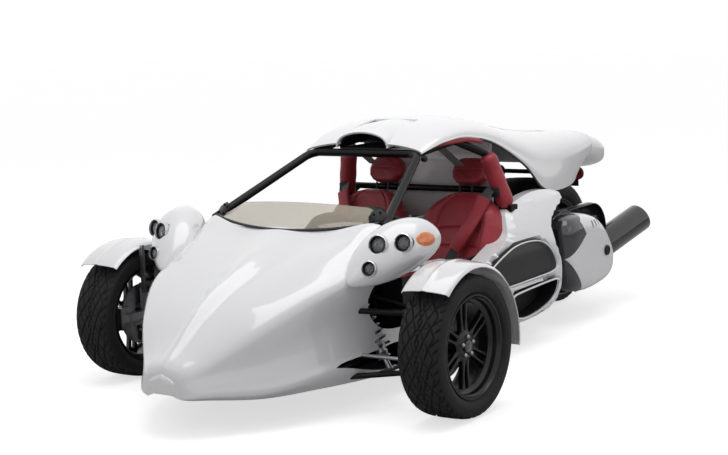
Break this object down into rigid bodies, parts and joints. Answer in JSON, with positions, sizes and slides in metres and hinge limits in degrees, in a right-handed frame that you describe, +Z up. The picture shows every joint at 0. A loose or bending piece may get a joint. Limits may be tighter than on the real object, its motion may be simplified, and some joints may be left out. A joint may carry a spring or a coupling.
{
  "type": "three wheeled car",
  "caption": "Open two-seat three-wheeled car with two steered front wheels, one driven rear wheel, tube cage, roof skin, side cases and exhausts.",
  "frame": {"origin": "on the ground under the middle of the outline", "axes": "+Z up, +Y to the vehicle's rear, +X to its left"},
  "size_m": [2, 3.49, 1.1248],
  "materials": {
    "body_white": "gloss",
    "frame_black": "semi-gloss powder coat",
    "leather_red": "soft",
    "tyre": "matt",
    "rim_black": "satin",
    "steel": "brushed",
    "aluminium": "cast",
    "black_plastic": "textured",
    "gloss_black": "gloss, dark grey",
    "lamp_glass": "clear lens",
    "smoke_glass": "smoke tint",
    "amber": "translucent amber",
    "red_lens": "translucent red",
    "chrome": "dark polished",
    "plate_white": "blank"
  },
  "bodies": {
    "chassis": {"nose_shell": "body_white", "lamp_pods": "body_white", "headlamps": "lamp_glass", "marker_lamps": "amber", "roof_shell": "body_white", "tail_lobe": "body_white", "side_pods": "body_white", "pod_inserts": "gloss_black", "pod_ducts": "black_plastic", "cockpit_tub": "black_plastic", "belly_pan": "black_plastic", "dashboard": "black_plastic", "windscreen": "smoke_glass", "seats": "leather_red", "headrests": "leather_red", "headrest_posts": "frame_black", "roll_cage": "frame_black", "cage_pads": "leather_red", "chassis_frame": "frame_black", "engine": "aluminium", "bulkhead": "body_white", "swing_arm": "frame_black", "rear_shock": "steel", "wishbones": "frame_black", "front_shocks": "steel", "steering_column": "frame_black", "rack_case": "aluminium", "mufflers": "chrome", "side_cases": "gloss_black", "rear_hugger": "black_plastic", "tail_lamps": "red_lens", "plate_holder": "black_plastic", "plate": "plate_white"},
    "knuckle_left": {"knuckle_left": "steel", "fender_left": "body_white"},
    "knuckle_right": {"knuckle_right": "steel", "fender_right": "body_white"},
    "wheel_left": {"front_rim_left": "rim_black", "front_tyre_left": "tyre", "front_disc_left": "steel"},
    "wheel_right": {"front_rim_right": "rim_black", "front_tyre_right": "tyre", "front_disc_right": "steel"},
    "wheel_rear": {"rear_rim": "rim_black", "rear_tyre": "tyre"},
    "steering_wheel": {"steering_wheel": "black_plastic"},
    "steering_rack": {"steering_rack": "steel"},
    "case_lid_left": {"case_lid_left": "body_white"},
    "case_lid_right": {"case_lid_right": "body_white"}
  },
  "joints": [
    {"name": "steer_left", "type": "hinge", "parent": "chassis", "child": "knuckle_left", "pos_m": [0.765, -0.945, 0.2955], "axis": [0, 0, 1], "range_deg": [-30, 30]},
    {"name": "steer_right", "type": "hinge", "parent": "chassis", "child": "knuckle_right", "pos_m": [-0.765, -0.945, 0.2955], "axis": [0, 0, 1], "range_deg": [-30, 30]},
    {"name": "steering_wheel_turn", "type": "hinge", "parent": "chassis", "child": "steering_wheel", "pos_m": [0.245, -0.44, 0.61], "axis": [0, -0.8829, -0.4695], "range_deg": [-240, 240]},
    {"name": "rack_slide", "type": "slide", "parent": "chassis", "child": "steering_rack", "axis": [1, 0, 0], "range_m": [-0.06, 0.06]},
    {"name": "wheel_left_spin", "type": "hinge", "parent": "knuckle_left", "child": "wheel_left", "pos_m": [0.888, -0.945, 0.2955], "axis": [1, 0, 0], "continuous": true},
    {"name": "wheel_right_spin", "type": "hinge", "parent": "knuckle_right", "child": "wheel_right", "pos_m": [-0.888, -0.945, 0.2955], "axis": [1, 0, 0], "continuous": true},
    {"name": "wheel_rear_spin", "type": "hinge", "parent": "chassis", "child": "wheel_rear", "pos_m": [0, 1.341, 0.332], "axis": [1, 0, 0], "continuous": true},
    {"name": "case_lid_left_hinge", "type": "hinge", "parent": "chassis", "child": "case_lid_left", "pos_m": [0.4385, 0.98, 0.155], "axis": [0, 1, 0], "range_deg": [0, 80]},
    {"name": "case_lid_right_hinge", "type": "hinge", "parent": "chassis", "child": "case_lid_right", "pos_m": [-0.4385, 0.98, 0.155], "axis": [0, -1, 0], "range_deg": [0, 80]}
  ],
  "couplings": [
    {"joint": "steer_right", "follows": "steer_left", "ratio": 1},
    {"joint": "steering_wheel_turn", "follows": "steer_left", "ratio": -8},
    {"joint": "rack_slide", "follows": "steer_left", "m_per_rad": 0.1}
  ]
}
